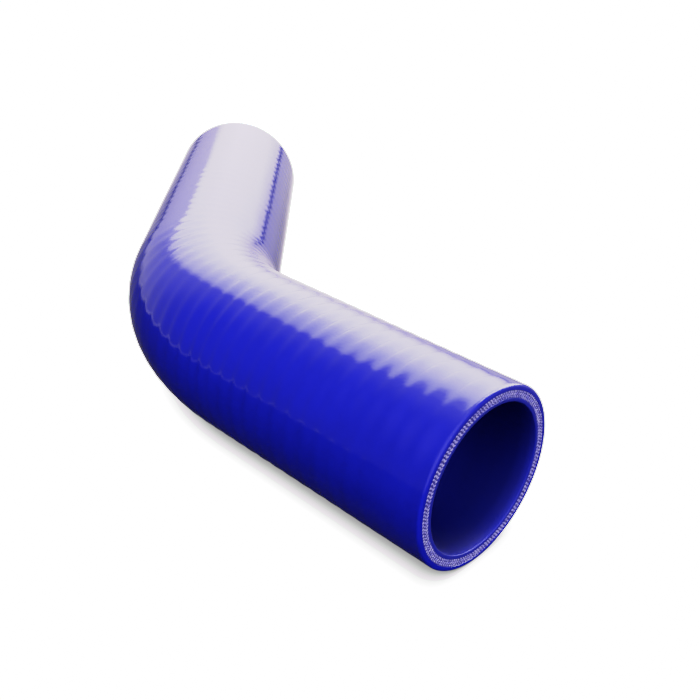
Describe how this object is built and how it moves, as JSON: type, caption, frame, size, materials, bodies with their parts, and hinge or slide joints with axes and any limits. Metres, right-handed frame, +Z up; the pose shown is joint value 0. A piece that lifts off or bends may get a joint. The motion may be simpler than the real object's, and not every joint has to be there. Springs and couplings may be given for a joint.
{
  "type": "silicone elbow hose",
  "caption": "Straight-legged 45 degree elbow hose of blue silicone with woven plies in its wall, for joining two pipes at an angle.",
  "frame": {"origin": "on the surface that the hose lies on, at the middle of its bounding box", "axes": "+Z up; +Y along the near leg, from its mouth towards the bend; the far leg turns 45 degrees from +Y towards +X, and both legs lie level"},
  "size_m": [0.1358, 0.2258, 0.049],
  "materials": {
    "silicone": "glossy blue silicone with shallow tape-wrap ribs"
  },
  "bodies": {
    "root": {"elbow_hose": "silicone"}
  },
  "joints": []
}
